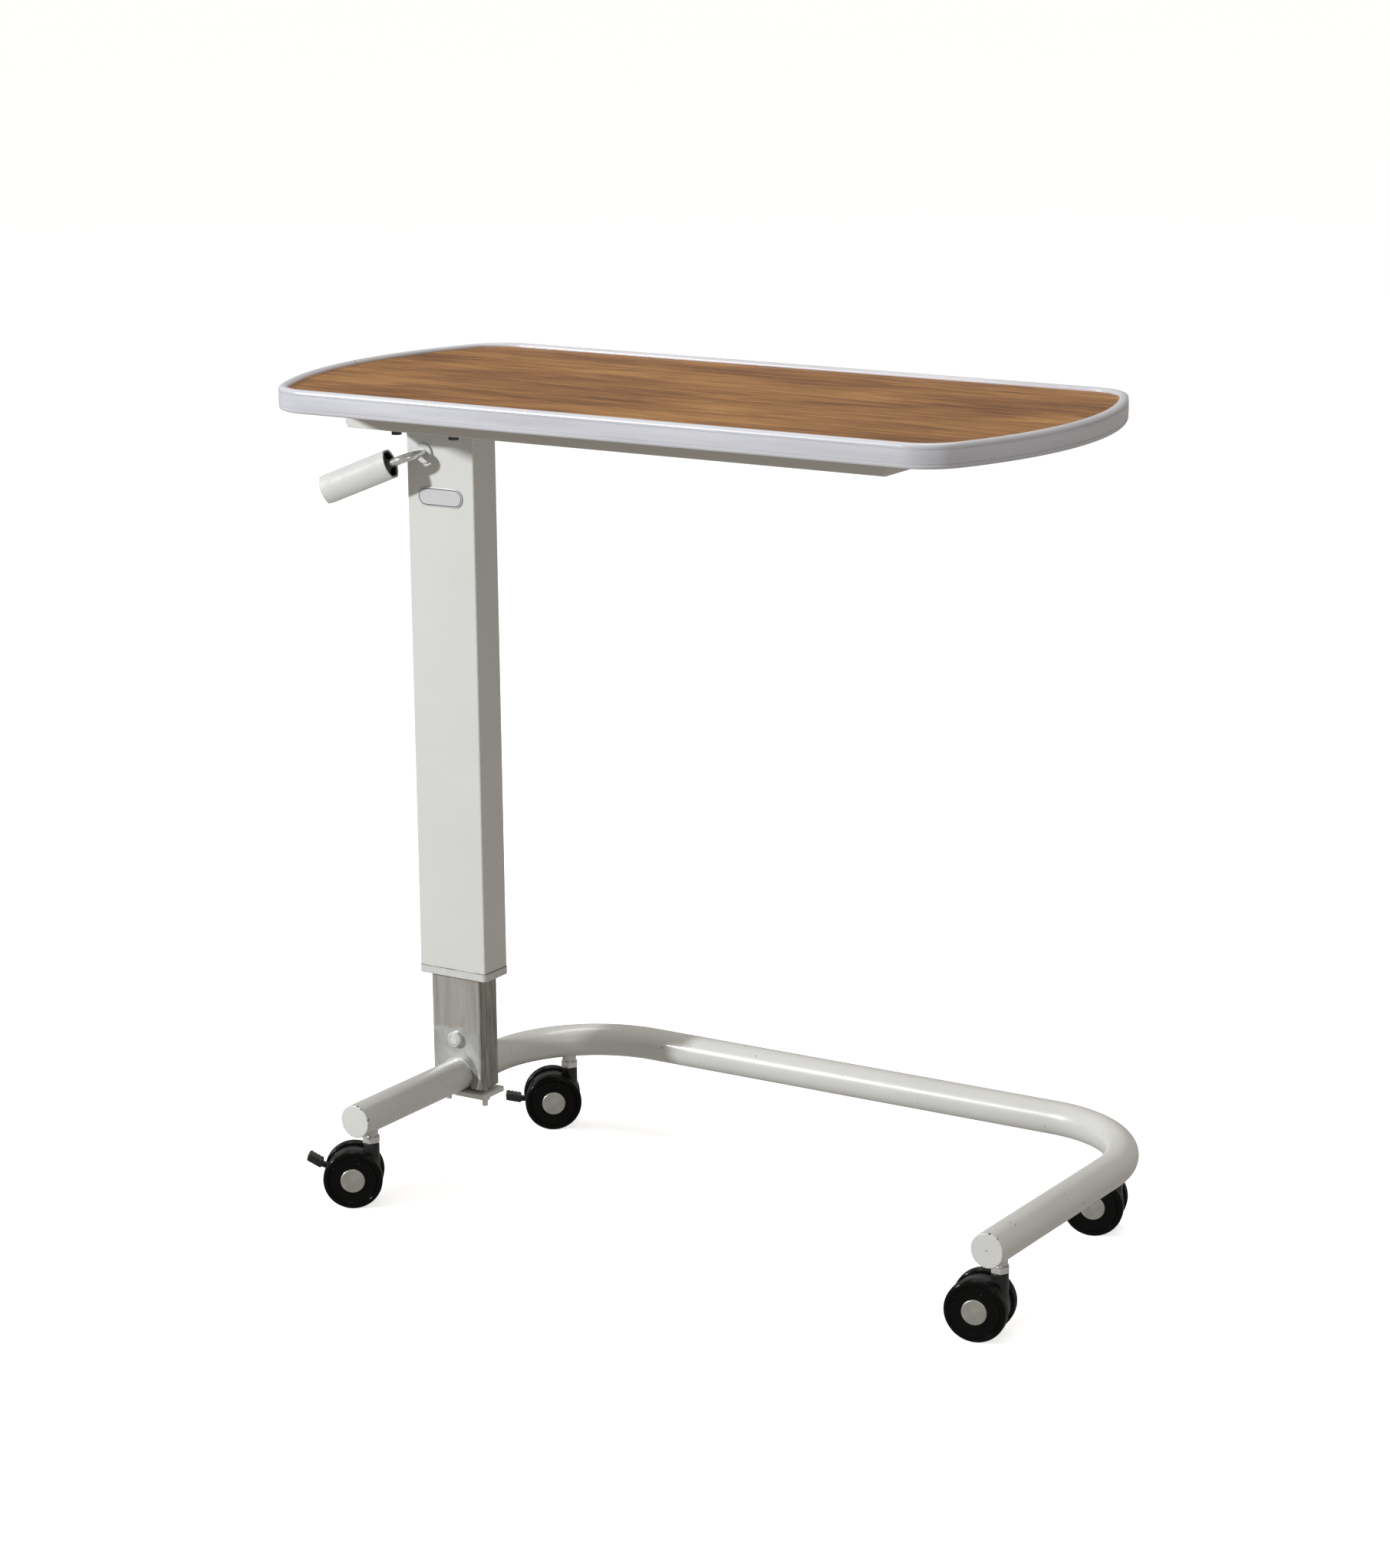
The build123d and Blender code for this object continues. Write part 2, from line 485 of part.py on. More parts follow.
def brake_pedal(raised):
    """A pedal that turns on the axle, with its ribbed pad out behind the wheels."""
    hub = cylinder_y(7.5, -3, 3) + block(-37, 0, -3, 3, -2.5, 2.5)
    pad = Pos(-43, 0, 2.5) * Rot(0, 12, 0) * Box(17, 15, 7)
    pad = fillet(pad.edges().filter_by(Axis.Y), 1.5)
    pedal = hub + pad
    for i in range(4):
        pedal += Pos(-43, 0, 2.5) * Rot(0, 12, 0) * Pos(-6 + 4 * i, 0, 3.7) * Box(1.6, 13, 1.4)
    pedal -= cylinder_y(AXLE_R + RUNNING, -20, 20)
    return Pos(-CASTER_TRAIL, 0, WHEEL_R) * Rot(0, raised, 0) * pedal


def casters():
    axle_half = CASTER_HALF_WIDTH - 2.6
    axle = cylinder_y(AXLE_R, -axle_half, axle_half, -CASTER_TRAIL, WHEEL_R)
    for name, (x, y, swivel, raised) in CASTERS.items():
        place = Pos(x, y, 0) * Rot(0, 0, swivel)
        write(f"caster_{name}_housing", place * caster_housing(raised is not None))
        write(f"caster_{name}_axle", place * axle)
        for label, side in (("near", -1), ("far", 1)):
            write(f"caster_{name}_wheel_{label}", place * caster_wheel(side))
            write(f"caster_{name}_cap_{label}", place * caster_cap(side))
        if raised is not None:
            write(f"caster_{name}_brake_pedal", place * brake_pedal(raised))


tabletop()
support_tray()
top_mounting()
column()
gas_spring()
lever()
base()
casters()
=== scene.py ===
import json
import math

import bmesh
import bpy
from mathutils import Matrix, Vector


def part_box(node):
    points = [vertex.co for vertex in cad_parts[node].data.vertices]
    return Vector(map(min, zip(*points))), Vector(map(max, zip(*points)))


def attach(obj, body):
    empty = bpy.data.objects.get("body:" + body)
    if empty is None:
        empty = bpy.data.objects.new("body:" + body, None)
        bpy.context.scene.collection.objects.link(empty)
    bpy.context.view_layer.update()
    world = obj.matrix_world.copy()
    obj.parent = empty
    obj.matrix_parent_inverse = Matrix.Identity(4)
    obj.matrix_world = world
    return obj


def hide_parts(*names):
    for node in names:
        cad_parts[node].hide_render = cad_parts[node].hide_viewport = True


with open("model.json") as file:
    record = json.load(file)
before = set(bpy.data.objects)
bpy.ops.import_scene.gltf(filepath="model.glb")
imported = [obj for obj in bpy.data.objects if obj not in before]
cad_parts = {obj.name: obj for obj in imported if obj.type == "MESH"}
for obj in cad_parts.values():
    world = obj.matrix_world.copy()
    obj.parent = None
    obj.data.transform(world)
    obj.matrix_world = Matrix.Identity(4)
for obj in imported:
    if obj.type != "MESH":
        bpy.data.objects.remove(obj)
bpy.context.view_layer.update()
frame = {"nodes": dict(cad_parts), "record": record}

MM = 0.001
NODES = frame["nodes"]
RECORD = frame["record"]
JOINTS = {j["name"]: j for j in RECORD["behaviour"]["joints"]}
RIM_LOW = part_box("edge_rim")[0]
TUBE_LOW, TUBE_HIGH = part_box("base_tube")
TUBE_Z = (TUBE_LOW.z + TUBE_HIGH.z) / 2
TUBE_MIDDLE = (TUBE_LOW.x + TUBE_HIGH.x) / 2
TUBE_REACH = (TUBE_HIGH.x - TUBE_MIDDLE) - (TUBE_HIGH.z - TUBE_Z)    # from there to an arm's centre line
INNER_HALF = (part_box("inner_column")[1].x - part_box("inner_column")[0].x) / 2
COLLAR_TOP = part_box("outer_column")[0].z
PIN_Z = (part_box("lower_pin")[0].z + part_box("lower_pin")[1].z) / 2
LEVER_TO_COLUMN = Vector((19.5 * MM, 0, 0))
COLUMN = Vector(JOINTS["release_lever_turn"]["pos_m"]) + LEVER_TO_COLUMN    # on the column's axis


# ---- meshes ----------------------------------------------------------------------------------------------
def smooth(mesh, angle=35):
    mesh.shade_smooth()
    mesh.set_sharp_from_angle(angle=math.radians(angle))


def build(name, verts, faces, materials, angle=35, place=None, face_materials=None):
    """A new object from points in metres. With place, the points are in the piece's own frame."""
    mesh = bpy.data.meshes.new(name)
    mesh.from_pydata([Vector(v) for v in verts], [], faces)
    for m in materials:
        mesh.materials.append(m)
    if face_materials:
        for p, i in zip(mesh.polygons, face_materials):
            p.material_index = i
    bm = bmesh.new()
    bm.from_mesh(mesh)
    bmesh.ops.recalc_face_normals(bm, faces=bm.faces[:])
    bm.to_mesh(mesh)
    bm.free()
    smooth(mesh, angle)
    obj = bpy.data.objects.new(name, mesh)
    bpy.context.collection.objects.link(obj)
    if place is not None:
        obj.matrix_world = place
    return obj


def loops_to_faces(rows, columns, closed_rows):
    """Quads between rows of points: each row is a closed loop of that many columns."""
    faces = []
    for i in range(rows if closed_rows else rows - 1):
        j = (i + 1) % rows
        for k in range(columns):
            n = (k + 1) % columns
            faces.append((i * columns + k, i * columns + n, j * columns + n, j * columns + k))
    return faces


def lathe(name, profile, material, place, steps=96):
    """A closed profile of (radius, distance along Y) points in mm, turned round the piece's own Y axis."""
    verts = []
    for i in range(steps):
        t = 2 * math.pi * i / steps
        verts += [(r * math.cos(t) * MM, y * MM, r * math.sin(t) * MM) for r, y in profile]
    faces = loops_to_faces(steps, len(profile), True)
    return build(name, verts, faces, [material], 40, place)


def arc(cx, cy, r, a0, a1, n):
    """Points along an arc, in degrees."""
    return [(cx + r * math.cos(math.radians(a0 + (a1 - a0) * i / n)),
             cy + r * math.sin(math.radians(a0 + (a1 - a0) * i / n))) for i in range(n + 1)]


# ---- materials -------------------------------------------------------------------------------------------
class Shader:
    """A procedural material, with short calls for its nodes. Coordinates are the piece's own, in metres."""

    def __init__(self, name, color, roughness, metallic=0.0, coat=0.0, specular=0.5):
        self.material = bpy.data.materials.new(name)
        self.material.use_nodes = True
        self.tree = self.material.node_tree
        self.bsdf = self.tree.nodes["Principled BSDF"]
        self.set(self.bsdf, "Base Color", (*color, 1))
        self.set(self.bsdf, "Roughness", roughness)
        self.set(self.bsdf, "Metallic", metallic)
        self.set(self.bsdf, "Coat Weight", coat)
        self.set(self.bsdf, "Coat Roughness", 0.12)
        self.set(self.bsdf, "Specular IOR Level", specular)
        self.coords = self.tree.nodes.new("ShaderNodeTexCoord").outputs["Object"]

    def set(self, node, socket, value):
        node.inputs[socket].default_value = value

    def put(self, node, socket, value):
        if isinstance(value, bpy.types.NodeSocket):
            self.tree.links.new(value, node.inputs[socket])
        elif value is not None:
            node.inputs[socket].default_value = value

    def scaled(self, x, y, z):
        node = self.tree.nodes.new("ShaderNodeMapping")
        self.put(node, "Vector", self.coords)
        node.inputs["Scale"].default_value = (x, y, z)
        return node.outputs["Vector"]

    def noise(self, scale, detail=4, rough=0.55, vector=None, distortion=0.0):
        node = self.tree.nodes.new("ShaderNodeTexNoise")
        self.put(node, "Vector", vector or self.coords)
        node.inputs["Scale"].default_value = scale
        node.inputs["Detail"].default_value = detail
        node.inputs["Roughness"].default_value = rough
        node.inputs["Distortion"].default_value = distortion
        return node.outputs["Fac"]

    def spots(self, scale):
        node = self.tree.nodes.new("ShaderNodeTexVoronoi")
        self.put(node, "Vector", self.coords)
        node.inputs["Scale"].default_value = scale
        return node.outputs["Distance"]

    def math(self, op, a, b=None, clamp=False):
        node = self.tree.nodes.new("ShaderNodeMath")
        node.operation, node.use_clamp = op, clamp
        self.put(node, 0, a)
        self.put(node, 1, b)
        return node.outputs[0]

    def band(self, value, low, high, to_low=0.0, to_high=1.0):
        node = self.tree.nodes.new("ShaderNodeMapRange")
        node.clamp = True
        self.put(node, "Value", value)
        for socket, v in zip(("From Min", "From Max", "To Min", "To Max"), (low, high, to_low, to_high)):
            self.put(node, socket, v)
        return node.outputs["Result"]

    def axis(self, name):
        node = self.tree.nodes.new("ShaderNodeSeparateXYZ")
        self.put(node, 0, self.coords)
        return node.outputs[name]

    def mix(self, fac, a, b):
        node = self.tree.nodes.new("ShaderNodeMix")
        node.data_type = "RGBA"
        self.put(node, 0, fac)
        for socket, v in ((6, a), (7, b)):
            self.put(node, socket, (*v, 1) if isinstance(v, tuple) else v)
        return node.outputs[2]

    def ramp(self, fac, *stops):
        node = self.tree.nodes.new("ShaderNodeValToRGB")
        self.put(node, "Fac", fac)
        ramp = node.color_ramp
        while len(ramp.elements) < len(stops):
            ramp.elements.new(0.5)
        for e, (at, color) in zip(ramp.elements, stops):
            e.position, e.color = at, (*color, 1)
        return node.outputs["Color"]

    def hypot(self, a, b):
        return self.math("SQRT", self.math("ADD", self.math("MULTIPLY", a, a), self.math("MULTIPLY", b, b)))

    def color(self, value):
        self.put(self.bsdf, "Base Color", value)

    def rough(self, value):
        self.put(self.bsdf, "Roughness", value)

    def bump(self, height, strength, distance):
        node = self.tree.nodes.new("ShaderNodeBump")
        self.put(node, "Height", height)
        node.inputs["Strength"].default_value = strength
        node.inputs["Distance"].default_value = distance
        self.put(self.bsdf, "Normal", node.outputs["Normal"])


def sparse_spots(s, scale, size, share):
    """1 in small spots, in that share of the places, and 0 elsewhere."""
    near = s.band(s.spots(scale), size * 0.6, size, 1, 0)
    return s.math("MULTIPLY", near, s.band(s.noise(7, 2), 1 - share, 1.02 - share), True)


def paint(name, chips):
    """Light warm-grey stoved paint: a faint orange peel, slight clouding, and chips on the base."""
    base = (0.655, 0.65, 0.63)
    s = Shader(name, base, 0.3, coat=0.45)
    tone = s.mix(s.band(s.noise(9, 5), 0.35, 0.7), (0.635, 0.632, 0.618), (0.66, 0.658, 0.645))
    grime = s.band(s.noise(16, 7, 0.75), 0.60, 0.8, 0, 0.10)
    tone = s.mix(grime, tone, (0.42, 0.40, 0.37))
    if chips:
        tone = s.mix(sparse_spots(s, 21, 0.045, 0.42), tone, (0.05, 0.045, 0.04))
        tone = s.mix(sparse_spots(s, 60, 0.07, 0.5), tone, (0.16, 0.14, 0.12))
    s.color(tone)
    s.rough(s.band(s.noise(30, 3), 0.3, 0.7, 0.25, 0.38))
    s.bump(s.noise(900, 2), 0.08, 0.0003)
    return s.material


def laminate():
    """Orange-brown wood print under a satin film: fine streaks along the top, with softer dark patches."""
    s = Shader("laminate_wood", (0.25, 0.12, 0.045), 0.45, specular=0.16)
    patch = s.noise(1, 3, 0.5, s.scaled(4.5, 20, 1), 0.6)
    grain = s.noise(1, 7, 0.62, s.scaled(9, 165, 1), 0.25)
    fine = s.noise(1, 4, 0.7, s.scaled(24, 520, 1))
    mixed = s.math("ADD", s.math("MULTIPLY", patch, 0.34), s.math("MULTIPLY", grain, 0.46))
    mixed = s.math("ADD", mixed, s.math("MULTIPLY", fine, 0.20))
    tone = s.ramp(mixed, (0.36, (0.085, 0.034, 0.012)), (0.46, (0.195, 0.084, 0.027)),
                  (0.54, (0.300, 0.142, 0.047)), (0.65, (0.43, 0.225, 0.085)))
    long_streaks = s.band(s.noise(1, 6, 0.72, s.scaled(7, 130, 1), 0.2), 0.565, 0.66)
    broken = s.band(s.noise(1, 3, 0.6, s.scaled(16, 60, 1)), 0.42, 0.58)
    dark = s.math("MULTIPLY", s.math("MULTIPLY", long_streaks, broken), 0.85)
    tone = s.mix(dark, tone, (0.050, 0.019, 0.008))
    light = s.band(s.noise(1, 3, 0.7, s.scaled(20, 380, 1)), 0.60, 0.70, 0, 0.35)
    s.color(s.mix(light, tone, (0.52, 0.30, 0.13)))
    s.rough(s.band(grain, 0.3, 0.7, 0.42, 0.55))
    s.bump(grain, 0.1, 0.0002)
    return s.material


def rim_plastic():
    """Pale grey extruded edging, cloudy along its length, with grime in its lower groove and a butt seam."""
    s = Shader("rim_edging", (0.60, 0.60, 0.65), 0.34, coat=0.1)
    cloud = s.noise(6, 6, 0.6, s.scaled(1, 1, 14))
    tone = s.mix(s.band(cloud, 0.35, 0.7), (0.50, 0.50, 0.545), (0.585, 0.585, 0.625))
    z = s.axis("Z")
    near_foot = s.band(z, RIM_LOW.z, RIM_LOW.z + 0.004, 1, 0)
    grime = s.math("MULTIPLY", near_foot, s.band(s.noise(18, 5), 0.35, 0.7, 0.15, 0.85))
    tone = s.mix(s.math("MULTIPLY", grime, 0.55), tone, (0.44, 0.415, 0.36))
    scuff = s.band(s.noise(10, 6, 0.8, s.scaled(3, 3, 40)), 0.62, 0.72, 0, 0.22)
    tone = s.mix(scuff, tone, (0.36, 0.355, 0.37))
    off = s.math("ABSOLUTE", s.math("SUBTRACT", s.axis("Y"), COLUMN.y))
    at_end = s.math("LESS_THAN", s.axis("X"), RIM_LOW.x + 0.02)
    seam = s.math("MULTIPLY", s.math("LESS_THAN", off, 0.00045), at_end)
    s.color(s.mix(seam, tone, (0.1, 0.1, 0.1)))
    s.rough(s.band(cloud, 0.3, 0.7, 0.28, 0.42))
    s.bump(s.noise(60, 3, vector=s.scaled(1, 1, 12)), 0.05, 0.0004)
    return s.material


def raw_steel():
    """Bare drawn steel: upright smears, a wiped paler patch round the lower pin, a crescent of painted shade
    at the tube's height, darker narrow sides.
    """
    s = Shader("bare_steel", (0.35, 0.34, 0.32), 0.42, metallic=0.5)
    smear = s.noise(9, 7, 0.65, s.scaled(11, 11, 0.9), 0.5)
    tone = s.ramp(smear, (0.3, (0.29, 0.278, 0.25)), (0.5, (0.42, 0.405, 0.375)), (0.7, (0.53, 0.515, 0.485)))
    mottle = s.band(s.noise(30, 6, 0.6, distortion=1.0), 0.35, 0.7)
    x, z = s.math("SUBTRACT", s.axis("X"), COLUMN.x), s.axis("Z")
    wide, high = s.math("MULTIPLY", x, 0.75), s.math("SUBTRACT", z, 0.112)
    reach = s.math("ADD", s.hypot(wide, high), s.math("MULTIPLY", s.noise(34, 4), 0.022))
    wiped = s.band(reach, 0.0475, 0.0505, 1, 0)
    pale = s.mix(mottle, (0.37, 0.37, 0.365), (0.64, 0.64, 0.63))
    tone = s.mix(s.math("MULTIPLY", wiped, 0.85), tone, pale)
    from_tube = s.hypot(x, s.math("SUBTRACT", z, TUBE_Z))
    # Painted shade: a darker crescent inside the bright line, on the right of the front face.
    crescent_shade = s.math("MULTIPLY", s.band(from_tube, 0.0265, 0.0285, 1, 0), s.band(x, 0.006, 0.016))
    tone = s.mix(s.math("MULTIPLY", crescent_shade, 0.6), tone, (0.17, 0.17, 0.17))
    near_line = s.band(s.math("ABSOLUTE", s.math("SUBTRACT", from_tube, 0.0285)), 0.0005, 0.0014, 1, 0)
    wisp = s.math("MULTIPLY", near_line, s.band(s.noise(45, 3), 0.42, 0.56))
    wisp = s.math("MULTIPLY", wisp, s.band(x, 0.004, 0.012))
    bright = s.math("MAXIMUM", wisp, s.band(from_tube, 0.0186, 0.0192, 1, 0))
    tone = s.mix(s.math("MULTIPLY", bright, 0.85), tone, (0.86, 0.86, 0.86))
    side = s.math("GREATER_THAN", s.axis("X"), COLUMN.x + INNER_HALF - 0.0008)
    dark = s.band(s.noise(11, 6, 0.7, s.scaled(12, 22, 1.2), 0.8), 0.38, 0.62)
    tone = s.mix(s.math("MULTIPLY", side, 0.7), tone, s.mix(dark, (0.07, 0.068, 0.06), (0.38, 0.37, 0.34)))
    s.color(tone)
    s.rough(s.band(smear, 0.3, 0.7, 0.5, 0.32))
    s.bump(smear, 0.12, 0.0005)
    return s.material


def bright_metal(name, color, roughness, grain, metallic=1.0):
    """Zinc or chrome plate with fine drawing marks and slight tarnish."""
    s = Shader(name, color, roughness, metallic=metallic)
    dull = s.band(s.noise(120, 5, 0.65), 0.4, 0.75)
    s.color(s.mix(s.math("MULTIPLY", dull, 0.45), color, tuple(c * 0.6 for c in color)))
    s.rough(s.band(s.noise(grain, 4), 0.3, 0.7, roughness * 0.7, roughness * 1.5))
    s.bump(s.noise(grain * 4, 2), 0.06, 0.0002)
    return s.material


def moulded(name, color, dust, roughness, grain=1400):
    """Moulded plastic with a fine texture, and dust where noise gathers it."""
    s = Shader(name, color, roughness)
    spread = s.band(s.noise(90, 6, 0.7), 0.48, 0.78, 0, 0.5)
    s.color(s.mix(spread, color, dust))
    s.rough(s.band(s.noise(60, 3), 0.3, 0.7, roughness * 0.8, roughness * 1.3))
    s.bump(s.noise(grain, 2), 0.1, 0.0002)
    return s.material


def pin_zinc():
    """The lower pin's bright head, turned with a ring round a raised middle."""
    s = Shader("pin_zinc", (0.82, 0.825, 0.83), 0.3, metallic=0.35)
    off = s.hypot(s.math("SUBTRACT", s.axis("X"), COLUMN.x), s.math("SUBTRACT", s.axis("Z"), PIN_Z))
    ring = s.band(s.math("ABSOLUTE", s.math("SUBTRACT", off, 0.0056)), 0.0003, 0.0008, 1, 0)
    tone = s.mix(s.band(s.noise(140, 4), 0.4, 0.7), (0.74, 0.745, 0.75), (0.88, 0.885, 0.89))
    s.color(s.mix(s.math("MULTIPLY", ring, 0.75), tone, (0.30, 0.30, 0.31)))
    s.rough(s.band(s.noise(300, 3), 0.3, 0.7, 0.22, 0.4))
    s.bump(s.band(off, 0.0052, 0.0060, 1, 0), 0.5, 0.0006)
    return s.material


def guide_plastic():
    """Pale moulded plastic, with the dark joint where the guide meets the tube above it."""
    s = Shader("guide_moulding", (0.60, 0.60, 0.585), 0.38)
    tone = s.mix(s.band(s.noise(90, 6, 0.7), 0.48, 0.78, 0, 0.5), (0.60, 0.60, 0.585), (0.46, 0.45, 0.43))
    top = s.band(s.axis("Z"), COLLAR_TOP - 0.0009, COLLAR_TOP - 0.0004)
    streak = s.band(s.noise(60, 3), 0.3, 0.6, 0.35, 0.95)
    s.color(s.mix(s.math("MULTIPLY", top, streak), tone, (0.09, 0.085, 0.08)))
    s.rough(s.band(s.noise(60, 3), 0.3, 0.7, 0.3, 0.48))
    s.bump(s.noise(1400, 2), 0.1, 0.0002)
    return s.material


def cap_paint():
    """The tube ends' paint, chipped to dark metal here and there at the rim, with a pin hole in one."""
    s = Shader("grey_cap_paint", (0.655, 0.65, 0.64), 0.34, coat=0.15)
    tone = s.mix(s.band(s.noise(26, 5), 0.35, 0.7), (0.63, 0.627, 0.615), (0.665, 0.66, 0.65))
    x = s.math("SUBTRACT", s.math("ABSOLUTE", s.math("SUBTRACT", s.axis("X"), TUBE_MIDDLE)), TUBE_REACH)
    off = s.hypot(x, s.math("SUBTRACT", s.axis("Z"), TUBE_Z))
    chips = s.math("MULTIPLY", s.band(off, 0.0158, 0.0166), s.band(s.noise(230, 3, 0.6), 0.60, 0.63))
    specks = sparse_spots(s, 320, 0.13, 0.52)
    hole = s.math("MULTIPLY", s.band(off, 0.0005, 0.0008, 1, 0), s.math("GREATER_THAN", s.axis("X"), 0))
    dark = s.math("MAXIMUM", s.math("MAXIMUM", chips, hole), s.math("MULTIPLY", specks, 0.5))
    s.color(s.mix(dark, tone, (0.035, 0.033, 0.03)))
    s.rough(s.band(s.noise(30, 3), 0.3, 0.7, 0.28, 0.42))
    s.bump(s.noise(900, 2), 0.08, 0.0003)
    return s.material


def wheel_black():
    """Glossy black wheel with a few bright flecks on its face and a dusty, scuffed tread."""
    s = Shader("wheel_nylon", (0.005, 0.005, 0.005), 0.2, specular=0.12)
    x, z = s.axis("X"), s.axis("Z")
    r = s.hypot(x, z)
    tread = s.band(r, 0.0299, 0.0307)
    scuff = s.band(s.noise(140, 6, 0.75, s.scaled(1, 0.6, 1)), 0.42, 0.66)
    dusty = s.math("MULTIPLY", tread, scuff)
    tone = s.mix(s.math("MULTIPLY", dusty, 0.75), (0.003, 0.003, 0.003), (0.06, 0.063, 0.06))
    fleck = s.math("MULTIPLY", s.band(s.spots(260), 0.05, 0.09, 1, 0), s.band(s.noise(60, 2), 0.6, 0.64))
    s.color(s.mix(fleck, tone, (0.3, 0.3, 0.29)))
    s.rough(s.band(tread, 0, 1, 0.14, 0.5))
    s.bump(s.noise(300, 4), 0.06, 0.0003)
    return s.material


def hub_metal():
    """Satin hub-cap metal, turned: fine rings and a soft cloud."""
    s = Shader("hub_cap_metal", (0.56, 0.55, 0.535), 0.34, metallic=0.85)
    x, z = s.axis("X"), s.axis("Z")
    r = s.hypot(x, z)
    rings = s.math("SINE", s.math("MULTIPLY", r, 9000.0))
    cloud = s.band(s.noise(70, 4), 0.3, 0.7)
    s.color(s.mix(cloud, (0.46, 0.452, 0.435), (0.64, 0.63, 0.61)))
    s.rough(s.band(cloud, 0, 1, 0.42, 0.28))
    s.bump(rings, 0.04, 0.0001)
    return s.material


PAINT = paint("grey_stoved_paint", False)
TUBE_PAINT = paint("grey_tube_paint", True)
CAP_PAINT = cap_paint()
WOOD = laminate()
RIM = rim_plastic()
STEEL = raw_steel()
ZINC = bright_metal("zinc_plate", (0.82, 0.825, 0.83), 0.26, 350, 0.65)
CHROME = bright_metal("chromed_rod", (0.84, 0.845, 0.85), 0.14, 500, 0.8)
PIN = pin_zinc()
OXIDE = moulded("black_oxide_steel", (0.03, 0.03, 0.03), (0.16, 0.155, 0.15), 0.35, 500)
COLLAR = guide_plastic()
BUSH = moulded("bush_moulding", (0.60, 0.60, 0.585), (0.48, 0.475, 0.46), 0.34)
GRIP = moulded("grip_moulding", (0.62, 0.62, 0.615), (0.54, 0.535, 0.52), 0.28, 900)
BLACK = moulded("black_moulding", (0.009, 0.0095, 0.010), (0.045, 0.048, 0.05), 0.32)
LINER = moulded("grip_liner_black", (0.016, 0.016, 0.017), (0.03, 0.03, 0.03), 0.35)
WHEEL = wheel_black()
HUB = hub_metal()
BOARD = moulded("chipboard_core", (0.42, 0.30, 0.18), (0.55, 0.42, 0.27), 0.8, 400)
SPRING = bright_metal("spring_black_enamel", (0.05, 0.05, 0.052), 0.3, 200)
BADGE = moulded("badge_foil", (0.56, 0.56, 0.575), (0.46, 0.46, 0.475), 0.3, 900)
# Painted shade and painted reflection: the badge's dark outline stands in for the shaded inner wall of its
# raised rim.
BADGE_SHADE_LINE = moulded("badge_outline_painted_shade", (0.008, 0.008, 0.009), (0.02, 0.02, 0.02), 0.4)

BY_SLOT = {
    "wood_laminate": WOOD, "rim_plastic": RIM, "chipboard": BOARD, "grey_paint": PAINT, "raw_steel": STEEL,
    "zinc_steel": ZINC, "guide_plastic": COLLAR, "grip_plastic": GRIP, "black_plastic": BLACK,
    "wheel_black": WHEEL, "hub_cap": HUB, "badge_silver": BADGE, "spring_black": SPRING,
}
BY_NODE = {"release_lever_rod": CHROME, "gas_spring_rod": CHROME, "grip_core": LINER, "base_tube": TUBE_PAINT,
           "tube_end_caps": CAP_PAINT, "lower_pin": PIN, "head_plate_bolts": OXIDE, "lever_bushes": BUSH}
for part in RECORD["subparts"]:
    node = NODES[part["node"]]
    node.data.materials.clear()
    node.data.materials.append(BY_NODE.get(part["node"], BY_SLOT[part["material_slot"]]))
    smooth(node.data, 30)


# ---- the top's edging ------------------------------------------------------------------------------------
BOW = 56.5              # how far a bowed end stands out past the line between its corners, in mm
CORNER_R = 54.0
SECTION_HEIGHT = 23.7   # of the section below, which is scaled to the rim's own height
RIM_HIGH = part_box("edge_rim")[1]
TOP_CENTRE = (RIM_LOW + RIM_HIGH) / 2
HALF_LENGTH = (RIM_HIGH.x - RIM_LOW.x) / 2 / MM
HALF_WIDTH = (RIM_HIGH.y - RIM_LOW.y) / 2 / MM


def top_outline():
    """Points round the top's edge with their outward normals, in mm from its centre."""
    end_r = (HALF_WIDTH**2 + BOW**2) / (2 * BOW)
    end_x, corner_y = HALF_LENGTH - end_r, HALF_WIDTH - CORNER_R
    corner_x = end_x + math.sqrt((end_r - CORNER_R) ** 2 - corner_y**2)
    turn = math.asin(corner_y / (end_r - CORNER_R))
    quarter = []
    for i in range(25):
        a = turn * i / 24
        quarter.append((end_x + end_r * math.cos(a), end_r * math.sin(a), math.cos(a), math.sin(a)))
    for i in range(1, 25):
        a = turn + (math.pi / 2 - turn) * i / 24
        quarter.append((corner_x + CORNER_R * math.cos(a), corner_y + CORNER_R * math.sin(a),
                        math.cos(a), math.sin(a)))
    for i in range(1, 17):
        quarter.append((corner_x * (1 - i / 16), HALF_WIDTH, 0, 1))
    half = quarter + [(-x, y, -nx, ny) for x, y, nx, ny in reversed(quarter[:-1])]
    return half + [(x, -y, nx, -ny) for x, y, nx, ny in reversed(half[1:-1])]


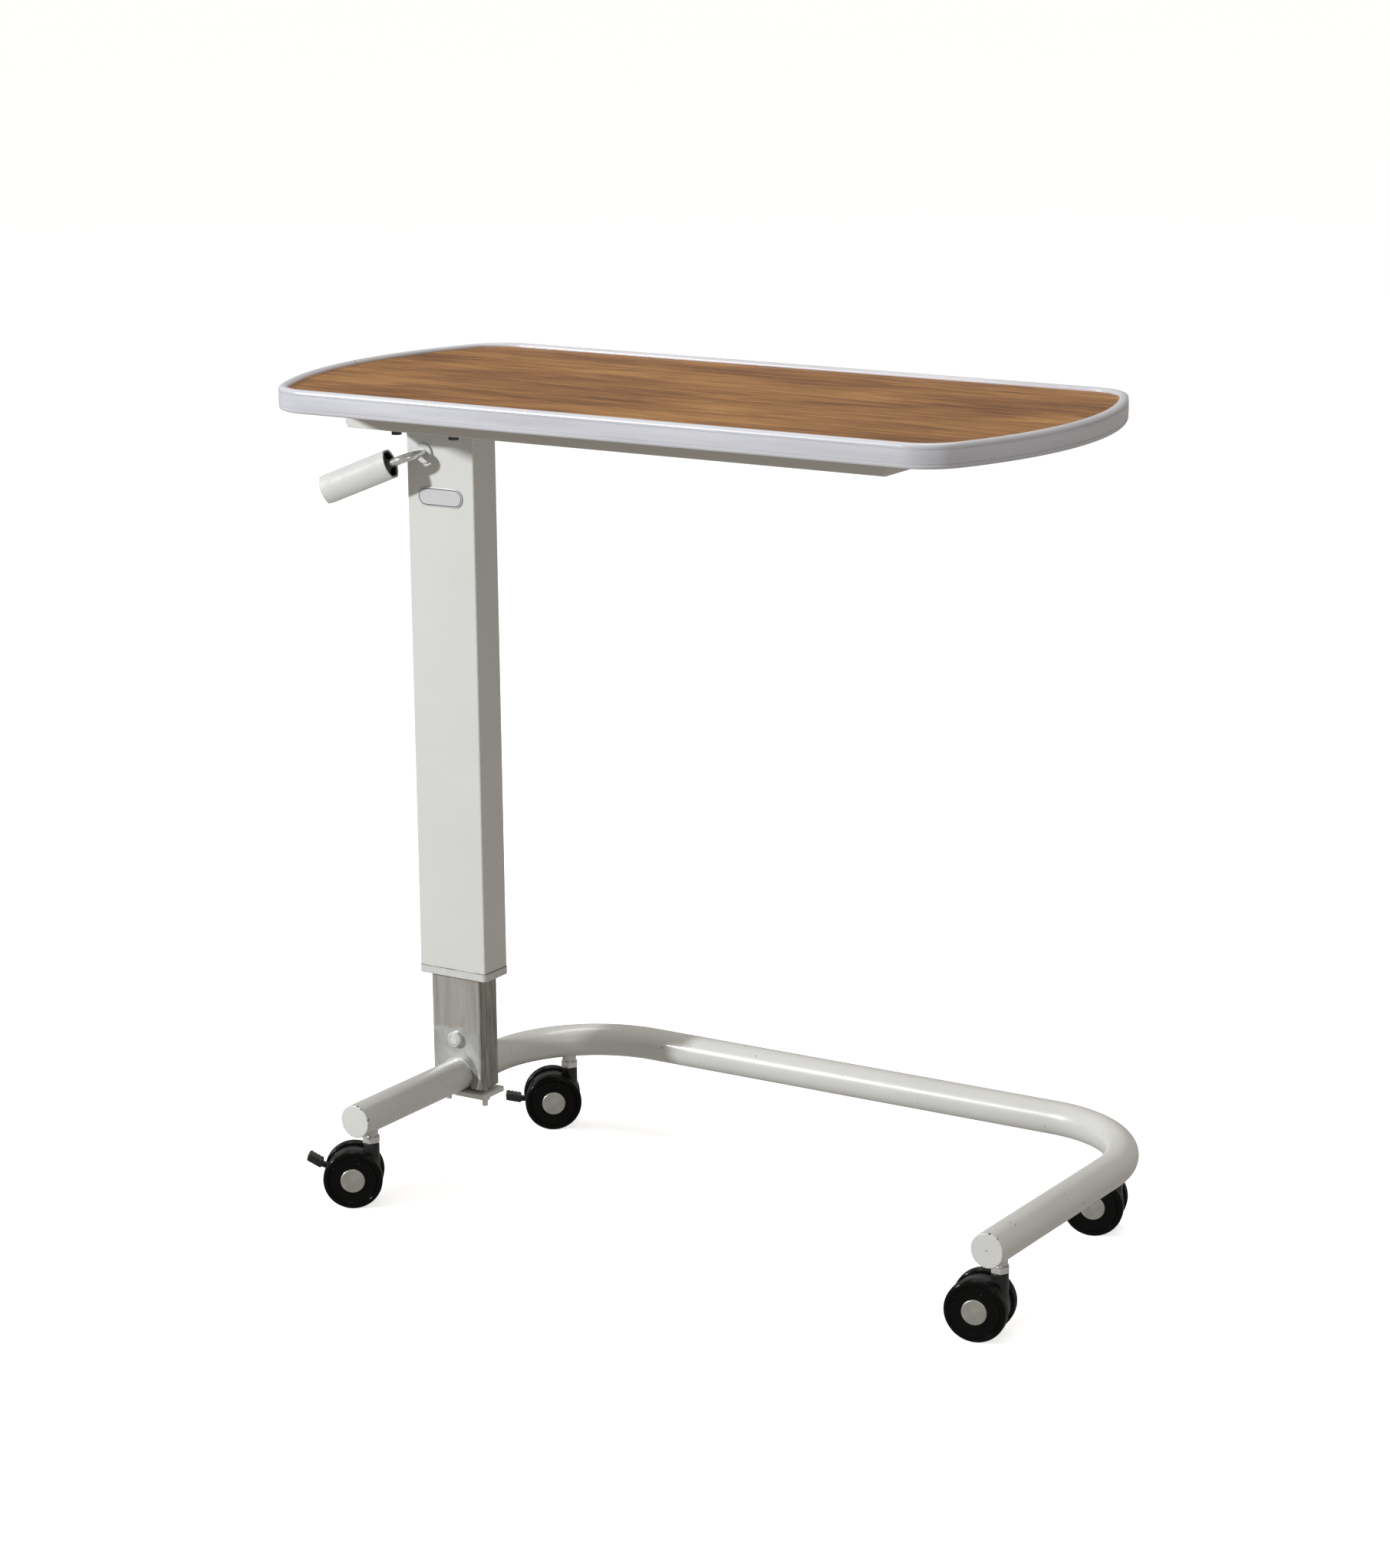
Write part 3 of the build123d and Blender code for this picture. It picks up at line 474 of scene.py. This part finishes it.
def edging():
    """The moulded edging: rounded lip and foot, with fine grooves below the lip and above the foot."""
    foot = [(8.0, 0.0), (2.6, 0.0)] + arc(2.4, 2.4, 2.4, 270, 180, 6)[1:]
    wall = [(0.0, 4.3), (0.5, 4.55), (0.5, 4.75), (0.0, 5.0), (-0.15, 8.5), (-0.2, 11.5), (-0.15, 15.0)]
    wall += [(0.0, 18.0), (0.55, 18.25), (0.55, 18.45), (0.05, 18.7), (0.05, 19.5), (0.45, 19.7)]
    lip = [(0.45, 19.9), (0.15, 20.1), (0.35, 21.2), (0.8, 22.2), (1.5, 23.0), (2.5, 23.5), (3.7, 23.7)]
    lip += [(5.6, 23.7), (7.2, 23.4), (8.3, 22.7), (8.9, 21.8), (9.1, 20.9), (9.1, 19.75), (8.0, 19.6)]
    section = foot + wall + lip
    scale = (RIM_HIGH.z - RIM_LOW.z) / MM / SECTION_HEIGHT
    rows = []
    for x, y, nx, ny in top_outline():
        for inset, z in section:
            rows.append((TOP_CENTRE.x + (x - nx * inset) * MM, TOP_CENTRE.y + (y - ny * inset) * MM,
                         RIM_LOW.z + z * scale * MM))
    count = len(section)
    faces = loops_to_faces(len(rows) // count, count, True)
    piece = build("top_edging", rows, faces, [RIM], 32)
    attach(piece, "upper_column")
    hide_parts("edge_rim")


# ---- the base tube ---------------------------------------------------------------------------------------
def base_tube():
    """The bent tube as one smooth skin, from end cap to end cap."""
    r = TUBE_HIGH.z - TUBE_Z
    bend = 0.124
    x0, x1 = TUBE_LOW.x + r, TUBE_HIGH.x - r
    y0, y1 = TUBE_LOW.y, TUBE_HIGH.y - r
    path = [(x0, y0 + (y1 - bend - y0) * i / 12, 0, 1) for i in range(13)]
    for cx, start in ((x0 + bend, 180), (x1 - bend, 90)):
        for i in range(0 if start == 90 else 1, 33):
            a = math.radians(start - 90 * i / 32)
            path.append((cx + bend * math.cos(a), y1 - bend + bend * math.sin(a), math.sin(a), -math.cos(a)))
    path += [(x1, y1 - bend + (y0 - y1 + bend) * i / 12, 0, -1) for i in range(1, 13)]
    steps, verts = 64, []
    for x, y, dx, dy in path:
        for i in range(steps):
            a = 2 * math.pi * i / steps
            verts.append((x + dy * r * math.cos(a), y - dx * r * math.cos(a), TUBE_Z + r * math.sin(a)))
    piece = build("base_tube_skin", verts, loops_to_faces(len(path), steps, False), [TUBE_PAINT], 60)
    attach(piece, "base")
    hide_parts("base_tube")


# ---- the casters -----------------------------------------------------------------------------------------
# Sections of (radius, distance along the axle from the caster's middle), in mm.
WHEEL_SECTION = (
    [(4.05, 9.8), (11.5, 9.8), (12.3, 10.8), (24.4, 10.8), (25.2, 10.0)]
    + [(28.6, 9.9), (29.9, 10.3), (30.7, 11.3), (31.0, 12.6), (31.0, 19.0), (30.8, 20.4), (30.2, 21.7),
       (29.2, 22.5), (27.8, 22.9), (26.6, 22.9), (26.2, 22.6)]
    + [(25.9, 22.2), (25.4, 22.15), (25.1, 22.45), (24.8, 22.8), (24.2, 22.85), (23.9, 22.55), (23.7, 22.25),
       (23.1, 22.1), (14.4, 22.0), (13.5, 22.2), (13.0, 22.4), (12.85, 22.2)]
    + [(12.8, 20.55), (4.05, 20.5)])
CAP_SECTION = [(0.01, 20.6), (12.6, 20.6), (12.7, 22.6), (12.55, 23.0), (12.15, 23.3), (11.5, 23.42),
               (10.6, 23.48), (6.0, 23.52), (0.01, 23.54)]


def caster_pieces():
    """The wheels and hub caps, each turned round its own spin joint's axis, in the wheel's own frame."""
    for name in ("left_front", "left_rear", "right_front", "right_rear"):
        for side, sign in (("near", -1), ("far", 1)):
            joint = JOINTS[f"{name}_{side}_spin"]
            across = Vector(joint["axis"]).normalized()
            turn = Matrix(((across.y, across.x, 0), (-across.x, across.y, 0), (0, 0, 1))).to_4x4()
            place = Matrix.Translation(joint["pos_m"]) @ turn
            body = f"{name}_wheel_{side}"
            wheel = lathe(f"{name}_wheel_{side}_moulding", [(r, sign * y) for r, y in WHEEL_SECTION], WHEEL,
                          place, 120)
            cap = lathe(f"{name}_hub_{side}_cap", [(r, sign * y) for r, y in CAP_SECTION], HUB, place, 96)
            for piece, node, slot in ((wheel, "wheel", "wheel_black"), (cap, "cap", "hub_cap")):
                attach(piece, body)
                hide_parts(f"caster_{name}_{node}_{side}")


# ---- the badge -------------------------------------------------------------------------------------------
def badge():
    """A blank stadium plate with a bevelled rim, and a thin dark outline that is painted shade and painted
    reflection of the rim's inner wall.
    """
    low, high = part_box("badge_plate")
    half = (high.x - low.x) / 2 / MM
    r = (high.z - low.z) / 2 / MM
    centre = (low + high) / 2
    rings = [(0, 0), (0, 0.8), (0.25, 1.15), (0.6, 1.3), (1.2, 1.3), (1.25, 1.1), (2.0, 1.1), (2.05, 1.25)]
    verts, n = [], 24
    for inset, out in rings:
        q = r - inset
        loop = [(half - r + x, z) for x, z in arc(0, 0, q, -90, 90, n)]
        loop += [(-(half - r) + x, z) for x, z in arc(0, 0, q, 90, 270, n)]
        verts += [(centre.x + x * MM, high.y - out * MM, centre.z + z * MM) for x, z in loop]
    count = 2 * (n + 1)
    faces = loops_to_faces(len(rings), count, False)
    # The dark band is painted shade and painted reflection of the raised rim's inner wall.
    outline = 5    # the band of faces between rings 5 and 6 is the dark one
    kinds = [1 if i // count == outline else 0 for i in range(len(faces))]
    faces.append(tuple(range((len(rings) - 1) * count, len(rings) * count)))
    kinds.append(0)
    piece = build("blank_badge", verts, faces, [BADGE, BADGE_SHADE_LINE], 30, face_materials=kinds)
    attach(piece, "upper_column")
    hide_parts("badge_plate")


edging()
base_tube()
caster_pieces()
badge()


# ---- camera, floor and light -----------------------------------------------------------------------------
def camera():
    """The viewpoint: to the right of the object's front, above the top and far off, with a slight roll."""
    yaw, pitch, roll = (math.radians(a) for a in (32.303, -13.951, -0.580))
    from_column = Vector((2.40346, -3.33524, 0))
    height = Vector((0, 0, 1.42993))
    forward = Vector((-math.sin(yaw) * math.cos(pitch), math.cos(yaw) * math.cos(pitch), math.sin(pitch)))
    right = Vector((math.cos(yaw), math.sin(yaw), 0))
    up = right.cross(forward)
    turned_right = right * math.cos(roll) + up * math.sin(roll)
    turned_up = up * math.cos(roll) - right * math.sin(roll)
    data = bpy.data.cameras.new("camera")
    data.sensor_width, data.lens = 36, 91.80
    data.clip_end = 300
    cam = bpy.data.objects.new("camera", data)
    turn = Matrix((turned_right, turned_up, -forward)).transposed().to_4x4()
    foot = Vector((COLUMN.x, COLUMN.y, 0))
    cam.matrix_world = Matrix.Translation(foot + from_column + height) @ turn
    bpy.context.collection.objects.link(cam)
    bpy.context.scene.camera = cam


def area_light(name, position, target, size, power, color=(1, 1, 1)):
    """A disk light, aimed at its target."""
    data = bpy.data.lights.new(name, "AREA")
    data.shape, data.size, data.energy, data.color = "DISK", size, power, color
    obj = bpy.data.objects.new(name, data)
    obj.location = position
    obj.rotation_mode = "QUATERNION"
    obj.rotation_quaternion = (Vector(target) - Vector(position)).to_track_quat("-Z", "Y")
    bpy.context.collection.objects.link(obj)


def backdrop_dome(radius, material):
    """A dome over the floor, so that the floor's far edge never shows."""
    around, rises = 36, 16
    verts = []
    for i in range(rises):
        rise = math.radians(6 * i)
        for k in range(around):
            turn = math.radians(360 / around * k)
            across = radius * math.cos(rise)
            verts.append((across * math.cos(turn), across * math.sin(turn), radius * math.sin(rise)))
    return build("studio_dome", verts, loops_to_faces(rises, around, False), [material])


def studio():
    """A white floor and dome that only the camera sees, a small key light, and two soft fills."""
    floor_look = Shader("studio_floor", (0.86, 0.86, 0.86), 0.9, specular=0.1)
    floor_look.color(floor_look.mix(floor_look.noise(0.4, 2), (0.85, 0.85, 0.85), (0.87, 0.87, 0.87)))
    floor_look.set(floor_look.bsdf, "Emission Color", (1, 1, 1, 1))
    floor_look.set(floor_look.bsdf, "Emission Strength", 0.70)
    half = 120
    corners = [(-half, -half, 0), (half, -half, 0), (half, half, 0), (-half, half, 0)]
    floor = build("studio_floor", corners, [(0, 1, 2, 3)], [floor_look.material])
    dome = backdrop_dome(half / 2, floor_look.material)
    dome.visible_shadow = False
    for backdrop in (floor, dome):
        backdrop.visible_diffuse = False
        backdrop.visible_glossy = False
    world = bpy.data.worlds.new("studio")
    bpy.context.scene.world = world
    world.use_nodes = True
    background = world.node_tree.nodes["Background"]
    background.inputs["Color"].default_value = (1, 0.955, 0.875, 1)
    background.inputs["Strength"].default_value = 0.36
    middle = Vector((COLUMN.x, COLUMN.y, 0.76))
    end = middle + Vector((0.74, -0.1, 0.08))
    area_light("key", middle + Vector((-2.45, -3.51, 1.38)), middle, 0.30, 200, (0.95, 0.98, 1.0))
    area_light("top_fill", middle + Vector((0.4, 0.4, 3.5)), middle, 2.6, 80, (1, 0.98, 0.95))
    area_light("end_fill", end + Vector((0.95, -0.85, 0.0)), end, 0.8, 2.0)
    bpy.context.scene.view_settings.view_transform = "Standard"


camera()
studio()
